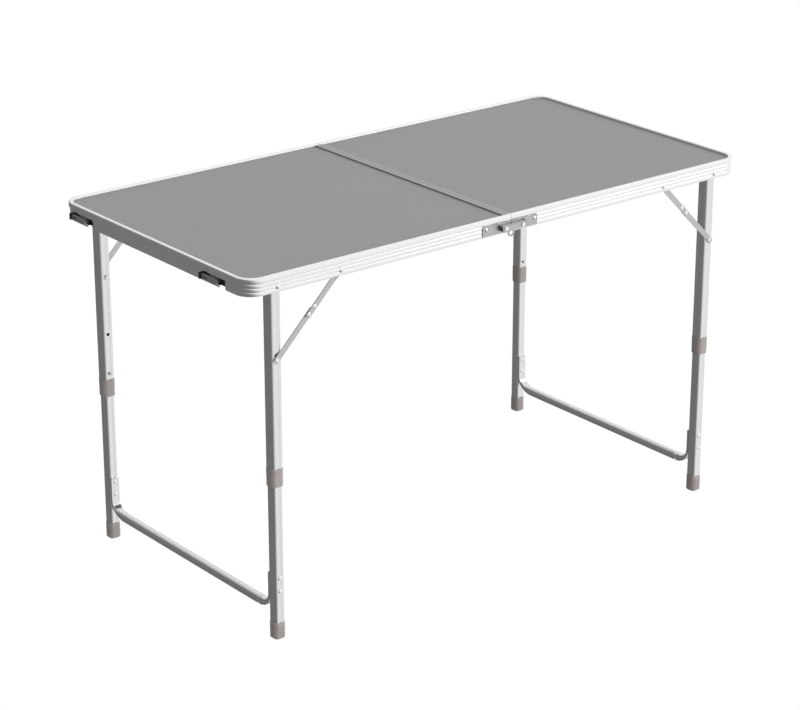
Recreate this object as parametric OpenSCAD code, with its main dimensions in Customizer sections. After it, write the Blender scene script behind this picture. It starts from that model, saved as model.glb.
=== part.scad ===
// Folding picnic table: two framed tabletop halves hinged across the middle,
// with swing-in telescopic leg frames, folding braces, joint locks, closing catches
// and a carry handle. Millimetres. +X runs along the table, Z is up, the ground is z = 0.

/* [Tabletop] */
// overall length of the open table
table_l = 1200; // [1000:10:1400]
// overall depth of the table
table_w = 600; // [480:10:720]
// height of the top rim above the ground, legs extended
table_h = 709; // [690:1:760]
// outer radius of the four tabletop corners
corner_r = 38; // [30:1:70]
// thickness of the tabletop panels
panel_t = 4; // [3:0.5:5]
// gap left between each half and the fold plane
joint_gap = 0.3; // [0.2:0.05:1]

/* [Edge rail] */
// full height of the edge rail
rail_h = 33.5; // [31:0.5:38]
// width of the raised rim seen from above
rim_w = 9.8; // [8:0.2:12]
// height of the raised rim above the panel
rim_h = 5; // [3:0.5:5.5]
// inner face of the rail wall, measured in from the outer face
wall_in = 4; // [3.8:0.1:4.2]
// depth of the slot that grips the panel edge, from the outer face
slot_in = 5; // [4.5:0.1:6]
// pitch of the three side ribs
rib_p = 7.2; // [6.8:0.1:7.6]

/* [Legs] */
// distance of the leg centres from the fold plane
leg_x = 531; // [431:1:640]
// distance of the leg centres from the table's centre line
leg_y = 276.7; // [216.7:0.1:336.7]
// depth of the leg pivot below the rim
pivot_drop = 23.5; // [22:0.5:24]
// outer size of the upper leg tube
upper_s = 24.8; // [24.2:0.1:24.9]
// outer size of the lower leg tube
lower_s = 22; // [20:0.1:22.2]
// wall of the upper and lower leg tubes
tube_wall = 1.1; // [0.9:0.05:1.2]
// height of the collar's lower end above the ground
collar_z = 302.6; // [290:0.2:310]
// length of the collar at the end of the upper tube
collar_h = 35.4; // [30:0.2:40]
// outer size of the collar
collar_s = 26.4; // [26:0.1:26.8]
// height of the foot
foot_h = 32.2; // [20:0.2:45]
// outer size of the foot
foot_s = 23.9; // [23.4:0.1:26]
// height of the snap button and pitch of the height holes
button_z = 350; // [346:1:352]
// distance between the two height holes
hole_pitch = 81; // [60:1:90]

/* [Crossbar] */
// outer size of the crossbar tube
bar_s = 17; // [13:0.5:18]
// height of the crossbar centre
bar_z = 57; // [50:1:66]
// centre-line radius of the crossbar bends
bar_r = 30; // [24:1:34]
// height of the flattened crossbar ends
strap_top = 130; // [124:1:134]
// thickness of the flattened crossbar ends
strap_t = 4; // [3:0.5:5]
// width of the flattened crossbar ends
strap_w = 19; // [16:0.5:21]

/* [Braces] */
// distance of both brace end pivots from the leg pivot
brace_r = 138; // [120:1:150]
// width of the brace links
link_w = 11; // [9:0.5:12]
// thickness of the brace links
link_t = 1.5; // [1.2:0.1:1.7]

/* [Fits] */
// radial clearance of every pin and rivet in its hole
pin_play = 0.05; // [0.02:0.01:0.09]

/* [Hidden] */
$fn = 48;
half_l = table_l / 2;
half_w = table_w / 2;
rail_z = table_h - rail_h;
pivot_z = table_h - pivot_drop;
panel_top = rail_h - rim_h;
panel_bot = panel_top - panel_t;
shelf_t = 1.3;
flute = 0.6;
shelf_bot = panel_bot - shelf_t;
rib_in = 2;
groove_in = 2.8;
rib_z = 0.6;
rim_z = rib_z + 3 * rib_p;
wall_y = half_w - wall_in;
crest_y = half_w - rib_in;

// joint rail and hinge
web = [1.7, 3.2];
web_top = shelf_bot - 0.1;
joint_rim = 3;
hinge_y = 190;
hinge_len = 70;
knuckles = 5;
knuckle_r = 3;
hinge_pin_r = 1.5;
leaf = [0.45, 1.55];

// leg, brace and rivet sizes
leg_rivet_r = 3;
rivet_r = 2.25;
outer_leg_y = leg_y + upper_s / 2;
link_lo_y = outer_leg_y + 1.2;
link_up_y = link_lo_y + link_t + 0.3;
joggle = 2;
link_len = brace_r * sqrt(2) / 2;
stop_s = link_len - 18;
upper_r = 7;
lower_r = 6.2;
collar_r = 8;
foot_r = 7.5;
bar_corner = 4.5;
brace_x = leg_x - brace_r;
brace_z = pivot_z - brace_r;
upper_top = pivot_z + 6;
upper_bot = collar_z + 19.4;
lower_top = button_z + 16;
bar_y = leg_y - lower_s / 2;

// lock
plate_z = [2.4, 22.4];
plate_y = [crest_y + 0.05, crest_y + 1.25];
lock_pivot = [-19, 12.5];
lock_catch = [22, 12.5];
stud_r = 2.4;
lever_y = [half_w + 0.4, half_w + 9];
lever_z = [7, 18];

// closing catch, at these places along the end rail
catch_y = 213;
catch_win = [-21, 50];
tongue_end = 28;
spring_end = 46;
handle_y = 58;
handle_pin = [2.9, 17.5];
handle_t = 5;

// colours
metal = [0.78, 0.79, 0.80];
steel = [0.62, 0.63, 0.65];
board = [0.57, 0.57, 0.58];
taupe = [0.62, 0.56, 0.52];
black = [0.07, 0.07, 0.08];

// ---- helpers: everything is drawn for the right half's back corner, then mirrored ----
module left() {
    mirror([1, 0, 0]) children();
}

module front() {
    mirror([0, 1, 0]) children();
}

module both() {
    children();
    front() children();
}

// square with rounded corners
module rounded(s, r) {
    square([s, s - 2 * r], center = true);
    square([s - 2 * r, s], center = true);
    for (x = [-1, 1], y = [-1, 1])
        translate([x * (s / 2 - r), y * (s / 2 - r)]) circle(r);
}

// rounded square with one shallow rounded flute along each face
module fluted(s, r, w) {
    big = (w * w / 4 + flute * flute) / (2 * flute);
    difference() {
        rounded(s, r);
        for (a = [0:90:270])
            rotate(a) translate([s / 2 - flute + big, 0]) circle(big);
    }
}

// pin along Y between two depths
module pin_y(x, z, r, y0, y1) {
    translate([x, y0, z]) rotate([-90, 0, 0]) cylinder(h = y1 - y0, r = r);
}

// domed rivet head whose seat is at depth y, pointing outwards
module dome_y(x, z, r, y, h) {
    big = (r * r + h * h) / (2 * h);
    translate([x, y, z]) rotate([-90, 0, 0]) intersection() {
        translate([0, 0, h - big]) sphere(big);
        cylinder(h = h, r = r);
    }
}

// ---- edge rail ----
module rail_section() {
    polygon(concat(
        [[-wall_in, 0], [-groove_in, 0]],
        [for (k = [0:2], p = [[0, 0.8], [0.9, 0.35], [2.2, 0.08], [3.6, 0], [5, 0.08],
            [6.3, 0.35]]) [-rib_in - p[1], rib_z + k * rib_p + p[0]]],
        [[-groove_in, rim_z], [-1.3, rim_z + 1], [-0.3, rim_z + 2.2], [0, rim_z + 3.6],
         [0, rail_h - 3.6], [-0.5, rail_h - 1.7], [-1.6, rail_h - 0.5], [-3.2, rail_h],
         [-rim_w + 3, rail_h], [-rim_w + 1.4, rail_h - 0.5], [-rim_w + 0.4, rail_h - 1.6],
         [-rim_w, rail_h - 3], [-rim_w, panel_top], [-slot_in, panel_top],
         [-slot_in, panel_bot], [-rim_w, panel_bot], [-rim_w, shelf_bot],
         [-wall_in, shelf_bot]]
    ));
}

module rail_path() {
    run = half_l - corner_r - joint_gap;
    both() translate([joint_gap, half_w, 0])
        rotate([90, 0, 90]) linear_extrude(run) rail_section();
    both() translate([half_l - corner_r, half_w - corner_r, 0])
        rotate_extrude(angle = 90) translate([corner_r, 0]) rail_section();
    translate([half_l, half_w - corner_r, 0])
        rotate([90, 0, 0]) linear_extrude(table_w - 2 * corner_r) rail_section();
}

module rail_holes() {
    both() {
        pin_y(leg_x, pivot_z - rail_z, leg_rivet_r + pin_play, wall_y - 2, half_w + 1);
        pin_y(brace_x, pivot_z - rail_z, rivet_r + pin_play, wall_y - 2, half_w + 1);
    }
}

module lock_holes(stud_x, corner_x) {
    both() {
        pin_y(stud_x, lock_pivot[1], stud_r + pin_play, wall_y - 2, half_w + 1);
        pin_y(corner_x, 15, 2 + pin_play, wall_y - 2, half_w + 1);
    }
}

module right_edge_rail() {
    color(metal) translate([0, 0, rail_z]) difference() {
        rail_path();
        rail_holes();
        lock_holes(lock_catch[0], 58);
        for (y = [-1, 1])
            translate([half_l + 1, y * catch_y - 12, 9]) rotate([0, -90, 0])
                cylinder(h = 6, r = 2 + pin_play);
        for (y = [-1, 1])
            translate([half_l + 1, y * (handle_y + 18), 16.4]) rotate([0, -90, 0])
                cylinder(h = 6, r = 2 + pin_play);
    }
}

module left_edge_rail() {
    color(metal) translate([0, 0, rail_z]) difference() {
        left() rail_path();
        left() rail_holes();
        left() lock_holes(-lock_pivot[0], 59);
        for (y = [-1, 1]) translate([-half_l - 1, y * catch_y, 0]) {
            translate([0, catch_win[0], 3])
                cube([wall_in + 2, catch_win[1] - catch_win[0], 15]);
            translate([0, catch_win[0], -1]) cube([wall_in + 2, 19, 5]);
        }
    }
}

// ---- joint rail, across the table beside the fold ----
module joint_rail() {
    rim_top = panel_top + joint_rim;
    long = half_w - wall_in - 0.1;
    short = half_w - rim_w - 0.1;
    translate([0, 0, rail_z]) difference() {
        union() {
            translate([0, long, 0]) rotate([90, 0, 0]) linear_extrude(2 * long)
                polygon([[web[0], 0], [11, 0], [11, 1.3], [web[1], 1.3],
                         [web[1], web_top], [web[0], web_top]]);
            translate([0, short, 0]) rotate([90, 0, 0]) linear_extrude(2 * short)
                polygon([[web[0], 10], [web[1], 10], [web[1], shelf_bot],
                         [rim_w - 0.8, shelf_bot], [rim_w - 0.8, panel_bot],
                         [web[1], panel_bot], [web[1], panel_top],
                         [rim_w - 0.8, panel_top], [rim_w - 0.8, rim_top - 0.8],
                         [rim_w - 1.6, rim_top], [joint_gap + 0.6, rim_top],
                         [joint_gap, rim_top - 0.6], [joint_gap, panel_top],
                         [web[0], panel_top]]);
        }
        both() translate([-1, hinge_y - hinge_len / 2 - 0.4, -1])
            cube([knuckle_r + 1.6, hinge_len + 0.8, knuckle_r + 1.6]);
        both() for (k = [-1, 0, 1])
            translate([0, hinge_y + k * 24, 14]) rotate([0, 90, 0])
                cylinder(h = 6, r = 1.6 + pin_play);
    }
}

module right_joint_rail() {
    color(metal) joint_rail();
}

module left_joint_rail() {
    color(metal) left() joint_rail();
}

// ---- tabletop panel ----
module panel() {
    x0 = web[1] + 0.1;
    x1 = half_l - slot_in - 0.1;
    y1 = half_w - slot_in - 0.1;
    r = corner_r - slot_in - 0.1;
    translate([0, 0, rail_z + panel_bot]) linear_extrude(panel_t)
        polygon(concat(
            [[x0, -y1]],
            [for (a = [-90:7.5:0]) [x1 - r + r * cos(a), r - y1 + r * sin(a)]],
            [for (a = [0:7.5:90]) [x1 - r + r * cos(a), y1 - r + r * sin(a)]],
            [[x0, y1]]
        ));
}

module right_panel() {
    color(board) panel();
}

module left_panel() {
    color(board) left() panel();
}

// ---- rivets in the rails ----
module leg_pivot_rivets() {
    inner_y = leg_y - upper_s / 2;
    both() {
        pin_y(leg_x, pivot_z, leg_rivet_r, inner_y - 0.2, crest_y + 0.2);
        dome_y(leg_x, pivot_z, 4.6, crest_y + 0.05, 2);
        pin_y(leg_x, pivot_z, 6, outer_leg_y + 0.1, wall_y - 0.02);
        front() dome_y(leg_x, pivot_z, 5, 0.1 - inner_y, 1.6);
    }
}

module right_leg_pivot_rivets() {
    color(steel) leg_pivot_rivets();
}

module left_leg_pivot_rivets() {
    color(steel) left() leg_pivot_rivets();
}

module brace_pivot_rivets() {
    seat = link_up_y + joggle;
    both() {
        pin_y(brace_x, pivot_z, rivet_r, seat - 0.4, crest_y + 0.2);
        dome_y(brace_x, pivot_z, 4.4, crest_y + 0.05, 1.9);
        pin_y(brace_x, pivot_z, 3.8, seat - 1.1, seat - 0.1);
    }
}

module right_brace_pivot_rivets() {
    color(steel) brace_pivot_rivets();
}

module left_brace_pivot_rivets() {
    color(steel) left() brace_pivot_rivets();
}

// ---- hinges under the joint ----
// one leaf with the knuckles whose number has the given parity
module hinge_leaf(parity) {
    step = hinge_len / knuckles;
    translate([0, hinge_y - hinge_len / 2, rail_z]) difference() {
        union() {
            translate([leaf[0], 0, knuckle_r + 0.4])
                cube([leaf[1] - leaf[0], hinge_len, 20 - knuckle_r - 0.4]);
            for (k = [0:knuckles - 1]) if (k % 2 == parity)
                translate([0, k * step + 0.15, 0]) {
                    translate([leaf[0], 0, hinge_pin_r])
                        cube([leaf[1] - leaf[0], step - 0.3, knuckle_r + 0.6]);
                    rotate([-90, 0, 0]) cylinder(h = step - 0.3, r = knuckle_r);
                }
        }
        translate([0, -1, 0]) rotate([-90, 0, 0])
            cylinder(h = hinge_len + 2, r = hinge_pin_r + pin_play);
        for (k = [-1, 0, 1])
            translate([-1, hinge_len / 2 + k * 24, 14]) rotate([0, 90, 0])
                cylinder(h = 6, r = 1.6 + pin_play);
    }
}

module right_hinge_leaves() {
    color(steel) both() hinge_leaf(1);
}

module left_hinge_leaves() {
    color(steel) both() left() hinge_leaf(0);
}

module hinge_pins() {
    color(steel) both() translate([0, hinge_y - hinge_len / 2 - 0.3, rail_z])
        rotate([-90, 0, 0]) cylinder(h = hinge_len + 0.6, r = hinge_pin_r);
}

module hinge_rivets() {
    both() for (k = [-1, 0, 1])
        translate([leaf[0] + 0.05, hinge_y + k * 24, rail_z + 14]) rotate([0, 90, 0]) {
            cylinder(h = web[1] - leaf[0], r = 1.6);
            translate([0, 0, web[1] - leaf[0] - 0.05]) cylinder(h = 1.2, r = 3);
        }
}

module right_hinge_rivets() {
    color(steel) hinge_rivets();
}

module left_hinge_rivets() {
    color(steel) left() hinge_rivets();
}

// ---- joint locks on the two long sides ----
module lock_plate(x0, x1, stud_x, corner_x) {
    translate([0, 0, rail_z]) difference() {
        translate([x0, plate_y[0], plate_z[0]])
            cube([x1 - x0, plate_y[1] - plate_y[0], plate_z[1] - plate_z[0]]);
        for (p = [[stud_x, lock_pivot[1], stud_r], [corner_x, 15, 2]])
            pin_y(p[0], p[1], p[2] + pin_play, plate_y[0] - 1, plate_y[1] + 1);
    }
}

module right_lock_plates() {
    color(metal) both() lock_plate(1, 65, lock_catch[0], 58);
}

module left_lock_plates() {
    color(metal) both() lock_plate(-68, -1, lock_pivot[0], -59);
}

module lock_rivet(x) {
    both() translate([0, 0, rail_z]) {
        pin_y(x, 15, 2, wall_y - 0.6, plate_y[1] + 0.2);
        dome_y(x, 15, 4, plate_y[1] + 0.02, 2);
        pin_y(x, 15, 3.2, wall_y - 1.3, wall_y - 0.05);
    }
}

module right_lock_rivets() {
    color(steel) lock_rivet(58);
}

module left_lock_rivets() {
    color(steel) lock_rivet(-59);
}

// stud with a wide head over the lever's face
module lock_stud(p) {
    both() translate([0, 0, rail_z]) {
        pin_y(p[0], p[1], stud_r, wall_y - 0.6, lever_y[1] + 0.4);
        pin_y(p[0], p[1], 4.2, lever_y[1] + 0.15, lever_y[1] + 1.3);
        pin_y(p[0], p[1], 4, plate_y[1] + 0.02, lever_y[1] - 1.5);
        pin_y(p[0], p[1], 3.6, wall_y - 1.3, wall_y - 0.05);
    }
}

module lock_pivot_studs() {
    color(steel) lock_stud(lock_pivot);
}

module lock_catch_studs() {
    color(steel) both() translate([0, 0, rail_z]) {
        pin_y(lock_catch[0], lock_catch[1], stud_r, wall_y - 0.6, lever_y[1] + 0.4);
        pin_y(lock_catch[0], lock_catch[1], 4.2, lever_y[1] + 0.15, lever_y[1] + 1.3);
        pin_y(lock_catch[0], lock_catch[1], 3.6, wall_y - 1.3, wall_y - 0.05);
    }
}

// channel lever: face, two flanges, sloping nose, hook slot and finger loop
module lock_lever() {
    x0 = -27;
    x1 = 28;
    t = 1.2;
    color(metal) translate([0, 0, rail_z]) difference() {
        union() {
            translate([x0, lever_y[1] - t, lever_z[0]])
                cube([x1 - x0, t, lever_z[1] - lever_z[0]]);
            for (z = [lever_z[0], lever_z[1] - t]) translate([x0, lever_y[0], z])
                cube([x1 - x0, lever_y[1] - lever_y[0], t]);
            translate([0, 0, 9]) linear_extrude(lever_z[1] - 9)
                polygon([[x1 - 1, lever_y[1] - t], [x1 - 1, lever_y[1]], [x1, lever_y[1]],
                         [x1 + 7.5, lever_y[0] + t], [x1 + 7.5, lever_y[0]],
                         [x1, lever_y[1] - 2.1]]);
            translate([-4, lever_y[0] + 3.5, 1.5]) rotate([-90, 0, 0]) difference() {
                cylinder(h = 1.6, r = 8);
                translate([0, 0, -1]) cylinder(h = 4, r = 4.8);
                translate([-9, -20 - lever_z[0] + 1.5, -1]) cube([18, 20, 4]);
            }
        }
        pin_y(lock_pivot[0], lock_pivot[1], stud_r + pin_play, lever_y[0], lever_y[1] + 1);
        translate([0, lever_y[1] + 1, 0]) rotate([90, 0, 0]) linear_extrude(12) hook_slot();
    }
}

// slot that drops over the catch stud, flared so that the stud leaves freely
module hook_slot() {
    c = lock_catch;
    r = stud_r + 0.3;
    translate(c) circle(r);
    polygon([[c[0] - r, c[1]], [c[0] + r + 0.6, c[1]], [c[0] + r + 4.6, lever_z[0] - 1],
             [c[0] - r - 1.3, lever_z[0] - 1]]);
}

module front_lock_lever() {
    front() lock_lever();
}

module back_lock_lever() {
    lock_lever();
}

// ---- closing catches on the left end ----
module at_catches() {
    for (y = [-1, 1]) translate([-half_l, y * catch_y, rail_z]) children();
}

module catch_housings() {
    color(black) at_catches() difference() {
        union() {
            translate([wall_in + 0.05, catch_win[0] - 4, 3.5])
                cube([8, spring_end - catch_win[0] + 4.5, 18]);
            translate([-5.4, spring_end, 4]) cube([10.6, 3.8, 12.2]);
        }
        translate([2, catch_win[0], 5]) cube([7.5, spring_end - catch_win[0], 12.7]);
        translate([wall_in - 1, catch_win[0], 2]) cube([4.6, 19, 6]);
    }
}

// sliding thumb piece with a dimple; its inner end hooks the strike
module catch_tongue() {
    difference() {
        union() {
            translate([-3.4, 4.5, 4.6]) cube([2.4, tongue_end - 4.5, 11]);
            translate([-3.4, 4.5, 10.1]) rotate([0, 90, 0]) cylinder(h = 2.4, r = 5.5);
            translate([-2, 3, 6.2]) cube([8, tongue_end - 3, 7.8]);
            translate([4.2, 3, 5.4]) cube([4.8, tongue_end - 3, 11.9]);
        }
        translate([-7.6, 5, 10.1]) sphere(5.4);
    }
}

module near_catch_tongue() {
    color(steel) translate([-half_l, -catch_y, rail_z]) catch_tongue();
}

module far_catch_tongue() {
    color(steel) translate([-half_l, catch_y, rail_z]) catch_tongue();
}

// closed coil spring along Y, swept as one skin
module catch_spring() {
    turns = 5;
    n = 12;
    m = 6;
    r = 4.2;
    wire = 0.75;
    y0 = tongue_end + wire + 0.05;
    y1 = spring_end - wire - 0.05;
    steps = turns * n;
    pts = [for (i = [0:steps], j = [0:m - 1])
        let (a = 360 * i / n, b = 360 * j / m, q = r + wire * cos(b))
        [q * cos(a), y0 + (y1 - y0) * i / steps + wire * sin(b), q * sin(a)]];
    skin = [for (i = [0:steps - 1], j = [0:m - 1])
        [i * m + j, i * m + (j + 1) % m, (i + 1) * m + (j + 1) % m, (i + 1) * m + j]];
    caps = [[for (j = [0:m - 1]) m - 1 - j], [for (j = [0:m - 1]) steps * m + j]];
    translate([-half_l + 1, 0, rail_z + 10.1]) polyhedron(pts, concat(skin, caps));
}

module near_catch_spring() {
    color(steel) translate([0, -catch_y, 0]) catch_spring();
}

module far_catch_spring() {
    color(steel) translate([0, catch_y, 0]) catch_spring();
}

// ---- strikes and carry handle on the right end ----
module catch_strikes() {
    color(steel) for (y = [-1, 1])
        translate([half_l - wall_in - 1.55, y * catch_y - 12, rail_z]) difference() {
            union() {
                translate([0, -5, -10]) cube([1.5, 10, 26]);
                translate([0, 4.9, -10]) cube([1.5, 4.1, 4]);
            }
            translate([-1, 0, 9]) rotate([0, 90, 0]) cylinder(h = 4, r = 2 + pin_play);
        }
}

module strike_rivets() {
    color(steel) for (y = [-1, 1])
        translate([half_l - rib_in + 1.55, y * catch_y - 12, rail_z + 9])
            rotate([0, -90, 0]) {
            cylinder(h = wall_in - rib_in + 3.3, r = 2);
            cylinder(h = 1.5, r = 3.8);
            translate([0, 0, wall_in - rib_in + 3.15]) cylinder(h = 1, r = 3.4);
        }
}

module handle_brackets() {
    x = handle_pin[0];
    color(black) both() translate([half_l, 0, rail_z]) difference() {
        union() {
            translate([0.05 - rib_in, handle_y + 4, 10.4]) cube([1.8, 22, 12]);
            translate([0.05 - rib_in, handle_y + 4, handle_pin[1] - 4])
                cube([x + rib_in, 6, 8]);
            pin_y(x, handle_pin[1], handle_t / 2, handle_y + 4, handle_y + 10);
            translate([-wall_in - 1, handle_y + 18, 16.4]) rotate([0, 90, 0])
                cylinder(h = wall_in - rib_in + 2, r = 2);
        }
        pin_y(x, handle_pin[1], 1.4 + pin_play, handle_y + 3, handle_y + 11);
    }
}

module carry_handle() {
    p = handle_pin;
    color(black) translate([half_l + p[0], 0, rail_z]) {
        both() {
            pin_y(0, p[1], 1.4, handle_y + 1, handle_y + 9.8);
            pin_y(0, p[1], handle_t / 2, handle_y - 5.5, handle_y + 3.5);
            translate([-handle_t / 2, handle_y - 5.5, -9])
                cube([handle_t, 9, p[1] + 9]);
        }
        translate([-handle_t / 2, -handle_y - 1, -13])
            cube([handle_t, 2 * handle_y + 2, 11]);
    }
}

// ---- leg frames ----
module upper_leg() {
    color(metal) difference() {
        translate([leg_x, leg_y, upper_bot]) linear_extrude(upper_top - upper_bot)
            difference() {
                fluted(upper_s, upper_r, upper_s - 2 * upper_r - 0.8);
                rounded(upper_s - 2 * tube_wall, upper_r - tube_wall);
            }
        pin_y(leg_x, pivot_z, leg_rivet_r + pin_play, leg_y - 20, leg_y + 20);
        pin_y(leg_x, brace_z, rivet_r + pin_play, leg_y - 20, leg_y + 20);
        for (z = [button_z, button_z + hole_pitch])
            pin_y(leg_x, z, 3.3, leg_y - 20, leg_y);
    }
}

module leg_collars() {
    play = (upper_s - 2 * tube_wall - lower_s) / 2;
    seat = upper_bot - 0.05;
    color(taupe) both() translate([leg_x, leg_y, 0]) difference() {
        union() {
            translate([0, 0, collar_z])
                linear_extrude(1.6) rounded(collar_s - 1.2, collar_r - 0.6);
            translate([0, 0, collar_z + 1.6])
                linear_extrude(collar_h - 1.6) rounded(collar_s, collar_r);
        }
        translate([0, 0, seat]) linear_extrude(collar_h) rounded(upper_s + 0.1, upper_r + 0.05);
        translate([0, 0, collar_z - 1]) linear_extrude(collar_h)
            rounded(lower_s + 2 * play, lower_r + play);
    }
}

// through rivet that carries the lower brace link
module brace_leg_rivets() {
    inner_y = leg_y - upper_s / 2;
    color(steel) both() {
        pin_y(leg_x, brace_z, rivet_r, inner_y - 0.2, link_lo_y + link_t + 0.4);
        pin_y(leg_x, brace_z, 3.8, link_lo_y + link_t + 0.1, link_lo_y + link_t + 0.8);
        pin_y(leg_x, brace_z, 4.5, outer_leg_y + 0.05, link_lo_y - 0.1);
        front() dome_y(leg_x, brace_z, 4, 0.05 - inner_y, 1.6);
    }
}

module lower_leg() {
    color(metal) difference() {
        translate([leg_x, leg_y, 3]) linear_extrude(lower_top - 3) difference() {
            fluted(lower_s, lower_r, lower_s - 2 * lower_r - 0.8);
            rounded(lower_s - 2 * tube_wall, lower_r - tube_wall);
        }
        pin_y(leg_x, button_z, 3.3, leg_y - 20, leg_y);
        for (z = crossbar_rivet_z())
            pin_y(leg_x, z, rivet_r + pin_play, leg_y - 20, leg_y + 20);
    }
}

module feet() {
    color(taupe) both() translate([leg_x, leg_y, 0]) difference() {
        union() {
            linear_extrude(1.6) rounded(foot_s - 2, foot_r - 1);
            translate([0, 0, 1.6]) linear_extrude(foot_h - 1.6) rounded(foot_s, foot_r);
        }
        translate([0, 0, 3]) linear_extrude(foot_h) rounded(lower_s + 0.04, lower_r + 0.02);
    }
}

function crossbar_rivet_z() = [strap_top - 34, strap_top - 7.7];

// crossbar: straight tube, swept bend and flattened ends against the legs
module crossbar() {
    cy = bar_y - bar_s / 2 - bar_r;
    cz = bar_z + bar_r;
    in_r = bar_r - bar_s / 2;
    flute_w = bar_s - 2 * bar_corner - 0.8;
    color(metal) {
        translate([leg_x, cy, bar_z]) rotate([90, 0, 0])
            linear_extrude(2 * cy) fluted(bar_s, bar_corner, flute_w);
        both() difference() {
            union() {
                translate([leg_x, cy, cz]) rotate([0, 90, 0]) rotate_extrude(angle = 90)
                    translate([bar_r, 0]) fluted(bar_s, bar_corner, flute_w);
                translate([leg_x - strap_w / 2, bar_y - strap_t, cz - 1])
                    cube([strap_w, strap_t, strap_top - cz + 1]);
            }
            translate([leg_x - 15, bar_y - strap_t - in_r, cz])
                rotate([0, 90, 0]) cylinder(h = 30, r = in_r);
            for (z = crossbar_rivet_z())
                pin_y(leg_x, z, rivet_r + pin_play, bar_y - 20, bar_y + 5);
        }
    }
}

module crossbar_rivets() {
    out_y = leg_y + lower_s / 2;
    in_y = bar_y - strap_t;
    color(steel) both() for (z = crossbar_rivet_z()) {
        pin_y(leg_x, z, rivet_r, in_y - 0.2, out_y + 0.2);
        dome_y(leg_x, z, 3.9, out_y + 0.05, 1.3);
        front() dome_y(leg_x, z, 3.9, 0.05 - in_y, 1.3);
    }
}

// ---- folding braces ----
// draws along the straight brace: x runs from the rail pivot to the leg pivot
module along_brace() {
    translate([brace_x, 0, pivot_z]) rotate([0, 45, 0]) children();
}

module upper_brace_link() {
    a = link_up_y;
    b = link_up_y + joggle;
    end = link_len + 7.2;
    along_brace() difference() {
        linear_extrude(link_w, center = true)
            polygon([[-7, b], [11, b], [18, a], [end, a], [end, a + link_t],
                     [18.8, a + link_t], [11.8, b + link_t], [-7, b + link_t]]);
        pin_y(0, 0, rivet_r + pin_play, a - 1, b + 4);
        pin_y(link_len, 0, rivet_r + pin_play, a - 1, b + 4);
        pin_y(stop_s, 0, rivet_r + pin_play, a - 1, b + 4);
        for (z = [-1, 1]) {
            translate([-7, a, z * link_w / 2]) rotate([0, 45, 0])
                cube([4, 30, 4], center = true);
            translate([end, a, z * link_w / 2]) rotate([0, 45, 0])
                cube([4, 30, 4], center = true);
        }
    }
}

module lower_brace_link() {
    a = link_lo_y;
    start = link_len - 10;
    end = 2 * link_len + 8;
    along_brace() difference() {
        union() {
            translate([start, a, -link_w / 2]) cube([end - start, link_t, link_w]);
            pin_y(start, 0, link_w / 2, a, a + link_t);
        }
        pin_y(2 * link_len, 0, rivet_r + pin_play, a - 1, a + 4);
        pin_y(link_len, 0, rivet_r + pin_play, a - 1, a + 4);
        for (z = [-1, 1])
            translate([end, a, z * link_w / 2]) rotate([0, 45, 0])
                cube([3, 10, 3], center = true);
    }
}

// joint rivet and stop rivet, both carried by the upper link
module brace_link_rivets() {
    a = link_up_y;
    along_brace() for (s = [link_len, stop_s]) {
        pin_y(s, 0, rivet_r, a, a + link_t + 0.2);
        dome_y(s, 0, 4, a + link_t + 0.02, 1.3);
    }
}

// ---- snap clip inside each lower leg: button on a folded spring strip ----
module snap_clip() {
    in_y = leg_y - lower_s / 2 + tube_wall;
    out_y = leg_y + lower_s / 2 - tube_wall;
    t = 0.5;
    a = in_y + 0.2;
    b = out_y - 0.1;
    z = button_z;
    color(steel) {
        pin_y(leg_x, z, 3, leg_y - upper_s / 2 - 1, a + 0.1);
        dome_y_in(leg_x, z, 3, leg_y - upper_s / 2 - 1, 0.8);
        translate([leg_x - 4, 0, 0]) rotate([90, 0, 90]) linear_extrude(8)
            polygon([[a, z + 6], [a, z - 14], [a + 5, z - 32], [leg_y, z - 34.5],
                     [b - 5, z - 32], [b, z - 14], [b, z + 2], [b - t, z + 2],
                     [b - t, z - 13.9], [b - 5.4, z - 31.6], [leg_y, z - 33.8],
                     [a + 5.4, z - 31.6], [a + t, z - 13.9], [a + t, z + 6]]);
    }
}

// dome on the side facing the table's centre line
module dome_y_in(x, z, r, y, h) {
    front() dome_y(x, z, r, -y, h);
}

// ---- the leg pieces in their places ----
module right_front_upper_leg() front() upper_leg();
module right_back_upper_leg() upper_leg();
module left_front_upper_leg() left() front() upper_leg();
module left_back_upper_leg() left() upper_leg();
module right_leg_collars() leg_collars();
module left_leg_collars() left() leg_collars();
module right_brace_leg_rivets() brace_leg_rivets();
module left_brace_leg_rivets() left() brace_leg_rivets();
module right_front_lower_leg() front() lower_leg();
module right_back_lower_leg() lower_leg();
module left_front_lower_leg() left() front() lower_leg();
module left_back_lower_leg() left() lower_leg();
module right_crossbar() crossbar();
module left_crossbar() left() crossbar();
module right_crossbar_rivets() crossbar_rivets();
module left_crossbar_rivets() left() crossbar_rivets();
module right_feet() feet();
module left_feet() left() feet();
module right_upper_brace_links() color(metal) both() upper_brace_link();
module left_upper_brace_links() color(metal) left() both() upper_brace_link();
module right_lower_brace_links() color(metal) both() lower_brace_link();
module left_lower_brace_links() color(metal) left() both() lower_brace_link();
module right_brace_link_rivets() color(steel) both() brace_link_rivets();
module left_brace_link_rivets() color(steel) left() both() brace_link_rivets();
module right_front_snap_clip() front() snap_clip();
module right_back_snap_clip() snap_clip();
module left_front_snap_clip() left() front() snap_clip();
module left_back_snap_clip() left() snap_clip();

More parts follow.
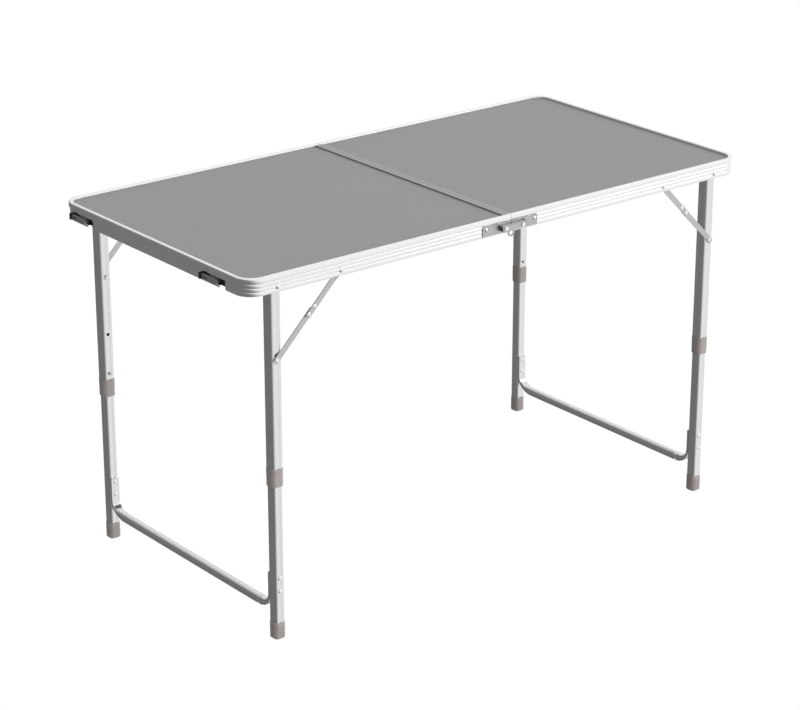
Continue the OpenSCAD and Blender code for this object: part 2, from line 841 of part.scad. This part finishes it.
// ---- scene ----
left_edge_rail();
left_joint_rail();
left_panel();
left_leg_pivot_rivets();
left_brace_pivot_rivets();
left_hinge_leaves();
hinge_pins();
left_hinge_rivets();
left_lock_plates();
left_lock_rivets();
lock_pivot_studs();
catch_housings();
near_catch_spring();
far_catch_spring();
right_edge_rail();
right_joint_rail();
right_panel();
right_leg_pivot_rivets();
right_brace_pivot_rivets();
right_hinge_leaves();
right_hinge_rivets();
right_lock_plates();
right_lock_rivets();
lock_catch_studs();
catch_strikes();
strike_rivets();
handle_brackets();
front_lock_lever();
back_lock_lever();
near_catch_tongue();
far_catch_tongue();
carry_handle();
left_front_upper_leg();
left_back_upper_leg();
left_leg_collars();
left_brace_leg_rivets();
right_front_upper_leg();
right_back_upper_leg();
right_leg_collars();
right_brace_leg_rivets();
left_front_lower_leg();
left_back_lower_leg();
left_crossbar();
left_crossbar_rivets();
left_feet();
right_front_lower_leg();
right_back_lower_leg();
right_crossbar();
right_crossbar_rivets();
right_feet();
left_upper_brace_links();
left_lower_brace_links();
left_brace_link_rivets();
right_upper_brace_links();
right_lower_brace_links();
right_brace_link_rivets();
left_front_snap_clip();
left_back_snap_clip();
right_front_snap_clip();
right_back_snap_clip();
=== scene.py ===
import math
import bpy
import bmesh
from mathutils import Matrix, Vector


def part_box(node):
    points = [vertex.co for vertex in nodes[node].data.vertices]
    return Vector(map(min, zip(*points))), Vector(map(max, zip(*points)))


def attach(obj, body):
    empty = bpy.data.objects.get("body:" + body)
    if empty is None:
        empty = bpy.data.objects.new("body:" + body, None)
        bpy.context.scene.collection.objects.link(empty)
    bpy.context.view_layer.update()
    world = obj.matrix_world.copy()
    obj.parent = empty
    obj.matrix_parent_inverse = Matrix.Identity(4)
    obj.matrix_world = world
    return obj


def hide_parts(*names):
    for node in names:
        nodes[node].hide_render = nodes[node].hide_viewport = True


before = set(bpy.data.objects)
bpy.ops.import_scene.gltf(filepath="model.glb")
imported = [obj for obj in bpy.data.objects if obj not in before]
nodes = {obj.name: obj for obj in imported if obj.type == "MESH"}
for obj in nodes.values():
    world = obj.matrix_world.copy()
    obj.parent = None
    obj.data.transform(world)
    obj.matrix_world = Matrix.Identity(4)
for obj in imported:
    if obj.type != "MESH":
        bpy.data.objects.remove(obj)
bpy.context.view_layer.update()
print("frame loaded:", len(nodes), "nodes")

mm = 0.001


# ---- shader maths ----

class Wire:
    def __init__(self, tree, socket):
        self.tree = tree
        self.socket = socket

    def node(self, kind, settings=None, inputs=None, out=0):
        made = self.tree.nodes.new(kind)
        for key, value in (settings or {}).items():
            if key == "stops":
                ramp = made.color_ramp
                while len(ramp.elements) < len(value):
                    ramp.elements.new(0.5)
                for element, (at, shade) in zip(ramp.elements, value):
                    element.position = at
                    element.color = shade if len(shade) == 4 else (*shade, 1)
            else:
                setattr(made, key, value)
        for key, value in (inputs or {}).items():
            if isinstance(value, Wire):
                self.tree.links.new(value.socket, made.inputs[key])
            elif isinstance(value, list) and value and isinstance(value[0], Wire):
                for each in value:
                    self.tree.links.new(each.socket, made.inputs[key])
            else:
                made.inputs[key].default_value = value
        return Wire(self.tree, made.outputs[out])

    def maths(self, operation, a, b=0.0):
        return self.node("ShaderNodeMath", {"operation": operation}, {0: a, 1: b})

    def __add__(self, other):
        return self.maths("ADD", self, other)

    def __radd__(self, other):
        return self.maths("ADD", other, self)

    def __sub__(self, other):
        return self.maths("SUBTRACT", self, other)

    def __rsub__(self, other):
        return self.maths("SUBTRACT", other, self)

    def __mul__(self, other):
        return self.maths("MULTIPLY", self, other)

    def __rmul__(self, other):
        return self.maths("MULTIPLY", other, self)


def newMaterial(name):
    made = bpy.data.materials.new(name)
    made.use_nodes = True
    tree = made.node_tree
    shader = tree.nodes["Principled BSDF"]
    place = tree.nodes.new("ShaderNodeTexCoord").outputs["Object"]
    return made, shader, Wire(tree, place)


def feed(shader, name, wire):
    wire.tree.links.new(wire.socket, shader.inputs[name])


def blendColour(wire, mask, low, high):
    return wire.node("ShaderNodeMix", {"data_type": "RGBA"}, {0: mask, 6: (*low, 1), 7: (*high, 1)}, 2)


# metal with drawing lines: they are fine across and long along the direction of drawing
def drawnMetal(name, tone, along, rough=0.27, streak=0.10, bump=0.04):
    made, shader, place = newMaterial(name)
    squeeze = [1400.0, 1400.0, 1400.0]
    for axis in along:
        squeeze["XYZ".index(axis)] = 6.0
    lines = place.node("ShaderNodeMapping", None, {"Vector": place, "Scale": squeeze})
    fine = place.node("ShaderNodeTexNoise", None, {"Vector": lines, "Scale": 1.0, "Detail": 3.0, "Roughness": 0.65})
    cloud = place.node("ShaderNodeTexNoise", None, {"Vector": place, "Scale": 9.0, "Detail": 4.0, "Roughness": 0.6})
    handled = place.node("ShaderNodeTexNoise", None, {"Vector": place, "Scale": 42.0, "Detail": 6.0, "Roughness": 0.7})
    dark = tuple(c * (1 - streak) for c in tone)
    feed(shader, "Base Color", blendColour(place, 0.62 * fine + 0.38 * cloud, dark, tone))
    feed(shader, "Roughness", (rough - 0.07) + 0.09 * fine + 0.06 * handled)
    shader.inputs["Metallic"].default_value = 1.0
    lift = place.node("ShaderNodeBump", None, {"Strength": bump, "Distance": 0.0002, "Height": fine})
    feed(shader, "Normal", lift)
    return made


def pressedSteel(name, tone, rough=0.34):
    made, shader, place = newMaterial(name)
    grain = place.node("ShaderNodeTexNoise", None, {"Vector": place, "Scale": 900.0, "Detail": 4.0, "Roughness": 0.7})
    spangle = place.node("ShaderNodeTexVoronoi", None, {"Vector": place, "Scale": 260.0, "Randomness": 1.0})
    dark = tuple(c * 0.84 for c in tone)
    feed(shader, "Base Color", blendColour(place, 0.6 * grain + 0.4 * spangle, dark, tone))
    feed(shader, "Roughness", (rough - 0.05) + 0.12 * grain)
    shader.inputs["Metallic"].default_value = 1.0
    feed(shader, "Normal", place.node("ShaderNodeBump", None, {"Strength": 0.08, "Distance": 0.0002, "Height": grain}))
    return made


# laminate: even grey with a fine pebble, slightly uneven sheen and faint rubbed patches
def laminateBoard(name, tone):
    made, shader, place = newMaterial(name)
    pebble = place.node("ShaderNodeTexNoise", None, {"Vector": place, "Scale": 1700.0, "Detail": 2.0, "Roughness": 0.5})
    patch = place.node("ShaderNodeTexNoise", None, {"Vector": place, "Scale": 4.0, "Detail": 6.0, "Roughness": 0.65})
    low = tuple(c * 0.955 for c in tone)
    high = tuple(c * 1.035 for c in tone)
    feed(shader, "Base Color", blendColour(place, 0.45 * pebble + 0.55 * patch, low, high))
    feed(shader, "Roughness", 0.46 + 0.10 * patch + 0.06 * pebble)
    shader.inputs["Specular IOR Level"].default_value = 0.35
    feed(shader, "Normal", place.node("ShaderNodeBump", None, {"Strength": 0.10, "Distance": 0.0002, "Height": pebble}))
    return made


def mouldedPlastic(name, tone, rough, grainSize=1500.0, lift=0.12):
    made, shader, place = newMaterial(name)
    grain = place.node("ShaderNodeTexNoise", None, {"Vector": place, "Scale": grainSize, "Detail": 3.0, "Roughness": 0.6})
    cloud = place.node("ShaderNodeTexNoise", None, {"Vector": place, "Scale": 60.0, "Detail": 3.0, "Roughness": 0.6})
    low = tuple(c * 0.88 for c in tone)
    feed(shader, "Base Color", blendColour(place, 0.5 * grain + 0.5 * cloud, low, tone))
    feed(shader, "Roughness", rough - 0.06 + 0.12 * grain)
    feed(shader, "Normal", place.node("ShaderNodeBump", None, {"Strength": lift, "Distance": 0.0002, "Height": grain}))
    return made


railMetal = drawnMetal("railAluminium", (0.84, 0.845, 0.85), "XY", 0.24, 0.05)
legMetal = drawnMetal("legAluminium", (0.74, 0.745, 0.75), "Z", 0.22, 0.06)
barMetal = drawnMetal("crossbarAluminium", (0.72, 0.725, 0.73), "Y", 0.22, 0.06)
linkMetal = drawnMetal("braceAluminium", (0.52, 0.525, 0.53), "XZ", 0.34, 0.08)
jointMetal = drawnMetal("jointRailAluminium", (0.38, 0.38, 0.385), "Y", 0.42, 0.05)
plateSteel = pressedSteel("zincPlate", (0.52, 0.52, 0.525), 0.40)
rivetSteel = pressedSteel("rivetMetal", (0.88, 0.88, 0.88), 0.16)
springSteel = pressedSteel("springSteel", (0.50, 0.50, 0.52), 0.30)
greyBoard = laminateBoard("greyLaminate", (0.29, 0.29, 0.291))
taupePlastic = mouldedPlastic("taupePlastic", (0.50, 0.45, 0.43), 0.50)
blackPlastic = mouldedPlastic("blackPlastic", (0.020, 0.020, 0.022), 0.42)

finishes = [
    ("panel", greyBoard), ("joint_rail", jointMetal), ("edge_rail", railMetal),
    ("collar", taupePlastic), ("feet", taupePlastic), ("housing", blackPlastic),
    ("handle", blackPlastic), ("clip", springSteel), ("spring", springSteel),
    ("rivet", rivetSteel), ("stud", rivetSteel), ("pin", rivetSteel),
    ("plate", plateSteel), ("lever", plateSteel), ("tongue", plateSteel),
    ("strike", plateSteel), ("hinge", plateSteel), ("crossbar", barMetal),
    ("link", linkMetal), ("leg", legMetal),
]
for name, node in nodes.items():
    for word, finish in finishes:
        if word in name:
            node.data.materials.clear()
            node.data.materials.append(finish)
            break
print("finishes set")


# ---- mesh helpers ----

def meshPiece(name, points, faces, finish):
    mesh = bpy.data.meshes.new(name)
    mesh.from_pydata(points, [], faces)
    work = bmesh.new()
    work.from_mesh(mesh)
    bmesh.ops.remove_doubles(work, verts=work.verts, dist=0.000002)
    bmesh.ops.recalc_face_normals(work, faces=work.faces)
    for face in work.faces:
        face.smooth = True
    work.to_mesh(mesh)
    work.free()
    mesh.materials.append(finish)
    mesh.set_sharp_from_angle(angle=math.radians(38))
    made = bpy.data.objects.new(name, mesh)
    bpy.context.scene.collection.objects.link(made)
    return made


# a point and its outward direction at a share of the way round a rounded rectangle
def roundedPoint(share, wide, deep, radius):
    flatX = wide - 2 * radius
    flatY = deep - 2 * radius
    arc = math.pi * radius / 2
    along = (share % 1.0) * (2 * flatX + 2 * flatY + 4 * arc)
    for turn, flat, reach in ((0, flatY, wide / 2), (1, flatX, deep / 2), (2, flatY, wide / 2), (3, flatX, deep / 2)):
        angle = turn * math.pi / 2
        if along <= flat:
            x, y, nx, ny = reach, along - flat / 2, 1.0, 0.0
            break
        along -= flat
        if along <= arc:
            bend = along / radius
            x = reach - radius + radius * math.cos(bend)
            y = flat / 2 + radius * math.sin(bend)
            nx, ny = math.cos(bend), math.sin(bend)
            break
        along -= arc
    c, s = math.cos(angle), math.sin(angle)
    return x * c - y * s, x * s + y * c, nx * c - ny * s, nx * s + ny * c


# one ring of points; ribs press every second stretch in, flutes hollow the middle of each side
def ring(wide, deep, radius, count, ribs=0, ribDepth=0.0, flute=0.0):
    made = []
    for k in range(count):
        x, y, nx, ny = roundedPoint(k / count, wide, deep, radius)
        sink = 0.0
        if ribs and (k * ribs / count) % 1.0 >= 0.5:
            sink = ribDepth
        if flute:
            off = abs(y) if abs(nx) > 0.999 else abs(x) if abs(ny) > 0.999 else 1.0
            span = ((deep if abs(nx) > 0.999 else wide) - 2 * radius) / 2
            if off < span:
                sink = flute * (1 - (off / span) ** 2)
        made.append((x - nx * sink, y - ny * sink))
    return made


def skinRings(rings, closedLoop):
    count = len(rings[0])
    faces = []
    last = len(rings) if closedLoop else len(rings) - 1
    for i in range(last):
        a, b = i * count, ((i + 1) % len(rings)) * count
        for k in range(count):
            n = (k + 1) % count
            faces.append((a + k, a + n, b + n, b + k))
    if not closedLoop:
        faces.append(tuple(range(count - 1, -1, -1)))
        faces.append(tuple((len(rings) - 1) * count + k for k in range(count)))
    return [p for r in rings for p in r], faces


def addSkin(points, faces, rings, closedLoop):
    more, skin = skinRings(rings, closedLoop)
    start = len(points)
    points += more
    faces += [tuple(start + k for k in face) for face in skin]


# the two leg centres of one end, from the box of its feet
def legCentres(side):
    low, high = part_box(side + "_feet")
    x = (low[0] + high[0]) / 2
    across = high[1] - (high[0] - low[0]) / 2
    return [(x, -across), (x, across)]


# ---- collars: tapered sleeves with a rolled lip at the top and a soft lower edge ----

collarLook = {"corner": 8.0, "tubeCorner": 7.0, "tube": 24.9, "inner": 22.6, "count": 96}


def buildCollar(side):
    low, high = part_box(side + "_leg_collars")
    bottom, top = low[2] / mm, high[2] / mm
    wide = (high[0] - low[0]) / mm
    look = collarLook
    seat = bottom + 19.4
    profile = [(bottom, wide - 2.4), (bottom + 0.35, wide - 1.5), (bottom + 1.1, wide - 1.0),
               (bottom + 2.4, wide - 0.8), (bottom + 14, wide - 0.6), (top - 4.2, wide - 0.45),
               (top - 3.6, wide - 0.05), (top - 1.0, wide), (top - 0.3, wide - 0.3), (top, wide - 0.8),
               (top, look["tube"]), (seat, look["tube"]), (seat, look["inner"]), (bottom, look["inner"])]
    points, faces = [], []
    for cx, cy in legCentres(side):
        rings = []
        for z, size in profile:
            corner = look["corner"] - (wide - size) / 2
            rings.append([(cx + x * mm, cy + y * mm, z * mm) for x, y in ring(size, size, corner, look["count"])])
        addSkin(points, faces, rings, True)
    piece = meshPiece(side + "Collars", points, faces, taupePlastic)
    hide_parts(side + "_leg_collars")
    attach(piece, side + "_leg_frame")


# ---- feet: ribbed cups with a plain band round the mouth ----

footLook = {"corner": 7.5, "tube": 22.04, "ribs": 32, "ribDepth": 0.42, "count": 256, "sole": 3.0}


def buildFeet(side):
    low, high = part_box(side + "_feet")
    top = high[2] / mm
    wide = (high[0] - low[0]) / mm
    look = footLook
    profile = [(0, wide - 5, 0), (0, wide - 2.6, 0), (0.5, wide - 1.3, 0), (1.4, wide - 0.4, 0.6),
               (2.6, wide, 1), (top - 7.6, wide, 1), (top - 6.6, wide, 0), (top - 6.0, wide - 0.5, 0),
               (top - 5.2, wide, 0), (top - 1.0, wide, 0), (top - 0.3, wide - 0.35, 0), (top, wide - 0.9, 0),
               (top, look["tube"], 0), (look["sole"], look["tube"], 0)]
    points, faces = [], []
    for cx, cy in legCentres(side):
        rings = []
        for z, size, depth in profile:
            corner = look["corner"] - (wide - size) / 2
            flat = ring(size, size, corner, look["count"], look["ribs"], look["ribDepth"] * depth)
            rings.append([(cx + x * mm, cy + y * mm, z * mm) for x, y in flat])
        addSkin(points, faces, rings, False)
    piece = meshPiece(side + "RibbedFeet", points, faces, taupePlastic)
    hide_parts(side + "_feet")
    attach(piece, side + "_foot_frame")


# ---- crossbars: fluted tube, swept bends and ends pressed flat against the legs ----

barLook = {"tube": 17.0, "corner": 4.8, "flute": 0.7, "bend": 30.0, "strapThick": 4.0, "strapWide": 19.0,
           "strapCorner": 1.6, "count": 80, "bendSteps": 14}


def buildCrossbar(side):
    look = barLook
    low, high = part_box(side + "_crossbar")
    x = (low[0] + high[0]) / 2 / mm
    end = high[1] / mm
    floorZ = low[2] / mm
    top = high[2] / mm
    axisZ = floorZ + look["tube"] / 2
    centreY = end - look["tube"] / 2 - look["bend"]
    centreZ = axisZ + look["bend"]
    # each stop is (centre y, centre z, direction of travel, how far it is pressed flat, width kept)
    stops = [(end - look["strapThick"] / 2, top - down, 90.0, 1.0, keep)
             for down, keep in ((0.0, 0.72), (0.4, 0.84), (1.2, 0.93), (2.6, 0.985), (4.4, 1.0))]
    for k in range(look["bendSteps"] + 1):
        angle = 90.0 - 90.0 * k / look["bendSteps"]
        ease = min(1.0, max(0.0, (angle - 8.0) / 72.0))
        press = ease * ease * (3 - 2 * ease)
        thick = look["tube"] + (look["strapThick"] - look["tube"]) * press
        reach = look["bend"] + (look["tube"] - thick) / 2
        stops.append((centreY + reach * math.sin(math.radians(angle)),
                      centreZ - reach * math.cos(math.radians(angle)), angle, press, 1.0))
    half = list(stops)
    stops += [(-y, z, 180.0 - angle if angle else 0.0, press, keep) for y, z, angle, press, keep in reversed(half)]
    rings = []
    for i, (y, z, angle, press, keep) in enumerate(stops):
        thick = look["tube"] + (look["strapThick"] - look["tube"]) * press
        wide = (look["tube"] + (look["strapWide"] - look["tube"]) * press) * keep
        corner = look["corner"] + (look["strapCorner"] - look["corner"]) * press
        turned = math.radians(angle)
        ny, nz = math.sin(turned), -math.cos(turned)
        flat = ring(wide, thick, min(corner, thick / 2 - 0.1), look["count"], 0, 0, look["flute"] * (1 - press))
        rings.append([((x + u) * mm, (y + v * ny) * mm, (z + v * nz) * mm) for u, v in flat])
    points, faces = skinRings(rings, False)
    piece = meshPiece(side + "FlutedCrossbar", points, faces, barMetal)
    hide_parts(side + "_crossbar")
    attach(piece, side + "_foot_frame")


for side in ("left", "right"):
    buildCollar(side)
    buildFeet(side)
    buildCrossbar(side)
print("collars, feet and crossbars made")


# ---- rivets: one tree sets a domed rivet with its shank and inner head at each seat ----

def rivetTree():
    tree = bpy.data.node_groups.new("rivetSet", "GeometryNodeTree")
    tree.interface.new_socket("Geometry", in_out="INPUT", socket_type="NodeSocketGeometry")
    for label in ("Head Radius", "Head Height", "Shank Radius", "Shank Length", "Inner Radius", "Inner Height"):
        tree.interface.new_socket(label, in_out="INPUT", socket_type="NodeSocketFloat")
    tree.interface.new_socket("Metal", in_out="INPUT", socket_type="NodeSocketMaterial")
    tree.interface.new_socket("Geometry", in_out="OUTPUT", socket_type="NodeSocketGeometry")
    entry = tree.nodes.new("NodeGroupInput")
    ask = {socket.name: Wire(tree, socket) for socket in entry.outputs if socket.name}
    seats = ask["Geometry"]
    ball = seats.node("GeometryNodeMeshUVSphere", None, {"Segments": 28, "Rings": 14, "Radius": 1.0})
    headScale = seats.node("ShaderNodeCombineXYZ", None,
                           {0: ask["Head Radius"], 1: ask["Head Height"], 2: ask["Head Radius"]})
    head = seats.node("GeometryNodeTransform", None, {"Geometry": ball, "Scale": headScale})
    back = seats.node("ShaderNodeCombineXYZ", None, {0: 0.0, 1: 0.0 - ask["Shank Length"], 2: 0.0})
    innerScale = seats.node("ShaderNodeCombineXYZ", None,
                            {0: ask["Inner Radius"], 1: ask["Inner Height"], 2: ask["Inner Radius"]})
    inner = seats.node("GeometryNodeTransform", None, {"Geometry": ball, "Translation": back, "Scale": innerScale})
    rod = seats.node("GeometryNodeMeshCylinder", None,
                     {"Vertices": 24, "Radius": ask["Shank Radius"], "Depth": ask["Shank Length"]})
    middle = seats.node("ShaderNodeCombineXYZ", None, {0: 0.0, 1: -0.5 * ask["Shank Length"], 2: 0.0})
    shank = seats.node("GeometryNodeTransform", None,
                       {"Geometry": rod, "Translation": middle, "Rotation": (math.pi / 2, 0, 0)})
    whole = seats.node("GeometryNodeJoinGeometry", None, {0: [head, inner, shank]})
    turn = seats.node("GeometryNodeInputNamedAttribute", {"data_type": "FLOAT"}, {"Name": "turn"})
    spin = seats.node("ShaderNodeCombineXYZ", None, {0: 0.0, 1: 0.0, 2: turn})
    euler = seats.node("FunctionNodeEulerToRotation", None, {0: spin})
    copies = seats.node("GeometryNodeInstanceOnPoints", None, {"Points": seats, "Instance": whole, "Rotation": euler})
    real = seats.node("GeometryNodeRealizeInstances", None, {0: copies})
    smooth = seats.node("GeometryNodeSetShadeSmooth", None, {0: real})
    painted = seats.node("GeometryNodeSetMaterial", None, {"Geometry": smooth, "Material": ask["Metal"]})
    leave = tree.nodes.new("NodeGroupOutput")
    tree.links.new(painted.socket, leave.inputs[0])
    return tree


rivetNodes = rivetTree()


def setRivets(name, body, replaced, seats, sizes):
    mesh = bpy.data.meshes.new(name + "Seats")
    mesh.from_pydata([seat[:3] for seat in seats], [], [])
    turn = mesh.attributes.new("turn", "FLOAT", "POINT")
    for k, seat in enumerate(seats):
        turn.data[k].value = seat[3]
    holder = bpy.data.objects.new(name + "Seats", mesh)
    bpy.context.scene.collection.objects.link(holder)
    made = holder.modifiers.new("rivets", "NODES")
    made.node_group = rivetNodes
    keys = {item.name: item.identifier for item in rivetNodes.interface.items_tree
            if item.item_type == "SOCKET" and item.in_out == "INPUT"}
    for label, value in sizes.items():
        made[keys[label]] = value * mm
    made[keys["Metal"]] = rivetSteel
    graph = bpy.context.evaluated_depsgraph_get()
    solid = bpy.data.meshes.new_from_object(holder.evaluated_get(graph))
    solid.name = name
    holder.modifiers.remove(made)
    bpy.data.objects.remove(holder)
    piece = bpy.data.objects.new(name, solid)
    bpy.context.scene.collection.objects.link(piece)
    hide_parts(replaced)
    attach(piece, body)


# seats on both long sides at the outermost face of a node, less the head's height
def rivetSeats(nodeName, headHeight, headRadius, rows=1):
    low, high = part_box(nodeName)
    x = (low[0] + high[0]) / 2
    y = high[1] - headHeight * mm
    if rows == 1:
        levels = [(low[2] + high[2]) / 2]
    else:
        levels = [low[2] + headRadius * mm, high[2] - headRadius * mm]
    return [(x, sign * y, z, 0.0 if sign > 0 else math.pi) for sign in (1, -1) for z in levels]


crossRivet = {"Head Radius": 4.3, "Head Height": 1.5, "Shank Radius": 2.2, "Inner Radius": 3.9, "Inner Height": 1.3}
for side in ("left", "right"):
    seatList = rivetSeats(side + "_crossbar_rivets", 1.35, 3.9, rows=2)
    barLow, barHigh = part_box(side + "_crossbar")
    crossRivet["Shank Length"] = (seatList[0][1] - barHigh[1]) / mm + barLook["strapThick"]
    setRivets(side + "LegRivets", side + "_foot_frame", side + "_crossbar_rivets", seatList, crossRivet)
print("rivets set")


# ---- floor, light and camera ----

stageLook = {"floorSize": 60.0, "dark": 0.20, "bright": 1.04, "low": -0.5, "high": 0.45,
             "towards": (0.75, -0.35, 0.56)}

floorMesh = bpy.data.meshes.new("floor")
half = stageLook["floorSize"] / 2
floorMesh.from_pydata([(-half, -half, -0.0005), (half, -half, -0.0005), (half, half, -0.0005), (-half, half, -0.0005)],
                      [], [(0, 1, 2, 3)])
floor = bpy.data.objects.new("floor", floorMesh)
bpy.context.scene.collection.objects.link(floor)
floorPaint = bpy.data.materials.new("paleFloor")
floorPaint.use_nodes = True
floorTree = floorPaint.node_tree
floorTree.nodes.clear()
probe = Wire(floorTree, floorTree.nodes.new("ShaderNodeLightPath").outputs["Is Camera Ray"])
seen = probe.node("ShaderNodeEmission", None, {"Color": (1, 1, 1, 1), "Strength": 1.0})
unseen = probe.node("ShaderNodeBsdfTransparent", None, {"Color": (1, 1, 1, 1)})
both = probe.node("ShaderNodeMixShader", None, {0: probe, 1: unseen, 2: seen})
last = floorTree.nodes.new("ShaderNodeOutputMaterial")
floorTree.links.new(both.socket, last.inputs["Surface"])
floorMesh.materials.append(floorPaint)

# soft light: bright from the front right and above, darker from the left
world = bpy.data.worlds.new("studio")
bpy.context.scene.world = world
world.use_nodes = True
worldTree = world.node_tree
worldTree.nodes.clear()
ray = Wire(worldTree, worldTree.nodes.new("ShaderNodeLightPath").outputs["Is Camera Ray"])
facing = ray.node("ShaderNodeTexCoord", None, None, 0)
lean = ray.node("ShaderNodeVectorMath", {"operation": "DOT_PRODUCT"}, {0: facing, 1: stageLook["towards"]}, 1)
ease = ray.node("ShaderNodeMapRange", {"interpolation_type": "SMOOTHSTEP"},
                {0: lean, 1: stageLook["low"], 2: stageLook["high"], 3: stageLook["dark"], 4: stageLook["bright"]})
dim = ray.node("ShaderNodeBackground", None, {"Color": (1, 1, 1, 1), "Strength": ease})
white = ray.node("ShaderNodeBackground", None, {"Color": (1, 1, 1, 1), "Strength": 1.0})
skyMix = ray.node("ShaderNodeMixShader", None, {0: ray, 1: dim, 2: white})
worldOut = worldTree.nodes.new("ShaderNodeOutputWorld")
worldTree.links.new(skyMix.socket, worldOut.inputs["Surface"])


def softLamp(name, place, target, width, height, power):
    lamp = bpy.data.lights.new(name, "AREA")
    lamp.shape = "RECTANGLE"
    lamp.size = width
    lamp.size_y = height
    lamp.energy = power
    made = bpy.data.objects.new(name, lamp)
    bpy.context.scene.collection.objects.link(made)
    made.location = place
    made.rotation_euler = (Vector(target) - Vector(place)).to_track_quat("-Z", "Y").to_euler()


softLamp("rightLamp", (3.0, -2.6, 2.4), (0, 0, 0.5), 1.2, 1.2, 26)

bpy.context.scene.view_settings.view_transform = "Standard"

lens = bpy.data.cameras.new("camera")
lens.sensor_fit = "HORIZONTAL"
lens.sensor_width = 36.0
lens.lens = 116.13
lens.clip_start = 0.05
lens.clip_end = 100
camera = bpy.data.objects.new("camera", lens)
bpy.context.scene.collection.objects.link(camera)
camera.location = (-2.990, -3.716, 2.184)
camera.rotation_euler = (math.radians(68.87), 0, math.radians(-38.6))
bpy.context.scene.camera = camera
print("stage set")
